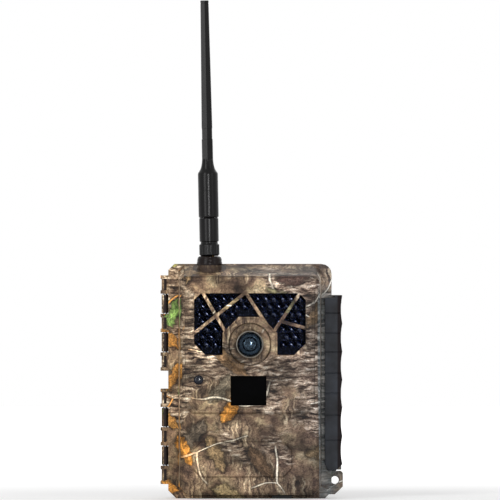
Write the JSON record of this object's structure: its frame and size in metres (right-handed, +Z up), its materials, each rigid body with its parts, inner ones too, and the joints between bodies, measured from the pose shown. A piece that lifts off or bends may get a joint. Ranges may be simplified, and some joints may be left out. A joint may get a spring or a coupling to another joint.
{
  "type": "trail camera",
  "caption": "Weatherproof wildlife camera in a hinged camouflage case with infrared lamps, lens, motion sensor, side latch and folding whip antenna.",
  "frame": {"origin": "under the middle of the object's box, on the surface that the camera stands on", "axes": "+Z up along the whip antenna, -Y out of the lens, +X to the right of the picture, towards the latch"},
  "size_m": [0.1139, 0.068, 0.3106],
  "materials": {
    "camo_shell": "moulded plastic with a dipped camouflage film, satin",
    "black_rubber": "moulded rubber, matt",
    "black_plastic": "moulded black plastic, satin",
    "charcoal_plastic": "glass-filled nylon, fine grain",
    "circuit_board": "solder mask over glass laminate",
    "cell_jacket": "printed jacket over a metal can",
    "brass": "turned",
    "steel": "zinc-plated or tinned",
    "dark_clear_plastic": "polished dark acrylic",
    "glass": "coated lens glass",
    "grey_plastic": "moulded plastic, fine grain",
    "key_plastic": "moulded plastic, satin",
    "card_plastic": "moulded plastic"
  },
  "bodies": {
    "rear": {"rear_housing": "camo_shell", "case_gasket": "black_rubber", "battery_tray": "black_plastic", "contact_board_bottom": "circuit_board", "contact_board_middle": "circuit_board", "contact_board_top": "circuit_board", "cell_1_1": "cell_jacket", "cell_1_2": "cell_jacket", "cell_1_3": "cell_jacket", "cell_1_4": "cell_jacket", "cell_1_5": "cell_jacket", "cell_1_6": "cell_jacket", "cell_2_1": "cell_jacket", "cell_2_2": "cell_jacket", "cell_2_3": "cell_jacket", "cell_2_4": "cell_jacket", "cell_2_5": "cell_jacket", "cell_2_6": "cell_jacket", "tripod_insert": "brass", "hinge_pin_lower": "steel", "hinge_pin_upper": "steel", "latch_pin": "steel"},
    "cover": {"front_cover": "camo_shell", "lens_bezel": "camo_shell", "infrared_window": "dark_clear_plastic", "led_board": "black_plastic", "lens_glass": "glass", "lens_barrel": "black_plastic", "lens_element": "glass", "lens_holder": "black_plastic", "pir_lens": "black_plastic", "pir_sensor": "steel", "light_sensor": "dark_clear_plastic", "main_board": "circuit_board", "radio_module": "steel", "control_panel": "grey_plastic", "screen": "dark_clear_plastic", "sd_socket": "steel", "sim_socket": "steel", "usb_port": "steel", "panel_screw_1": "steel", "panel_screw_2": "steel", "panel_screw_3": "steel", "panel_screw_4": "steel", "power_inlet": "black_plastic", "antenna_connector": "brass"},
    "latch": {"latch_lever": "charcoal_plastic"},
    "antenna_foot": {"antenna_base": "black_plastic", "antenna_knuckle_pin": "steel"},
    "antenna_upper": {"antenna_whip": "black_plastic"},
    "filter": {"infrared_cut_filter": "glass"},
    "ok_key": {"key_ok": "key_plastic"},
    "up_key": {"key_up": "key_plastic"},
    "down_key": {"key_down": "key_plastic"},
    "left_key": {"key_left": "key_plastic"},
    "right_key": {"key_right": "key_plastic"},
    "switch_knob": {"power_switch": "key_plastic"},
    "memory_card": {"sd_card": "card_plastic"},
    "subscriber_card": {"sim_card": "card_plastic"},
    "plug": {"inlet_plug": "black_rubber"}
  },
  "joints": [
    {"name": "cover_hinge", "type": "hinge", "parent": "rear", "child": "cover", "pos_m": [-0.054, 0.00103, 0.0739], "axis": [0, 0, -1], "range_deg": [0, 110]},
    {"name": "latch_hinge", "type": "hinge", "parent": "rear", "child": "latch", "pos_m": [0.05315, 0.01402, 0.0721], "axis": [0, 0, 1], "range_deg": [0, 100]},
    {"name": "antenna_swivel", "type": "hinge", "parent": "cover", "child": "antenna_foot", "pos_m": [-0.02625, -0.01397, 0.1511], "axis": [-0.0197, 0, 0.9998], "continuous": true},
    {"name": "antenna_tilt", "type": "hinge", "parent": "antenna_foot", "child": "antenna_upper", "pos_m": [-0.0266, -0.01397, 0.169], "axis": [-0.9998, 0, -0.0197], "range_deg": [0, 90]},
    {"name": "filter_slide", "type": "slide", "parent": "cover", "child": "filter", "axis": [1, 0, 0], "range_m": [0, 0.006]},
    {"name": "ok_press", "type": "slide", "parent": "cover", "child": "ok_key", "axis": [0, -1, 0], "range_m": [0, 0.0006], "stiffness_N_per_m": 1500},
    {"name": "up_press", "type": "slide", "parent": "cover", "child": "up_key", "axis": [0, -1, 0], "range_m": [0, 0.0006], "stiffness_N_per_m": 1500},
    {"name": "down_press", "type": "slide", "parent": "cover", "child": "down_key", "axis": [0, -1, 0], "range_m": [0, 0.0006], "stiffness_N_per_m": 1500},
    {"name": "left_press", "type": "slide", "parent": "cover", "child": "left_key", "axis": [0, -1, 0], "range_m": [0, 0.0006], "stiffness_N_per_m": 1500},
    {"name": "right_press", "type": "slide", "parent": "cover", "child": "right_key", "axis": [0, -1, 0], "range_m": [0, 0.0006], "stiffness_N_per_m": 1500},
    {"name": "power_slide", "type": "slide", "parent": "cover", "child": "switch_knob", "axis": [1, 0, 0], "range_m": [0, 0.008]},
    {"name": "memory_card_slide", "type": "slide", "parent": "cover", "child": "memory_card", "axis": [0, 0, 1], "range_m": [0, 0.02]},
    {"name": "subscriber_card_slide", "type": "slide", "parent": "cover", "child": "subscriber_card", "axis": [0, 0, 1], "range_m": [0, 0.012]},
    {"name": "plug_hinge", "type": "hinge", "parent": "cover", "child": "plug", "pos_m": [0.01895, -0.00898, 0.0015], "axis": [1, 0, 0], "range_deg": [0, 100]}
  ]
}
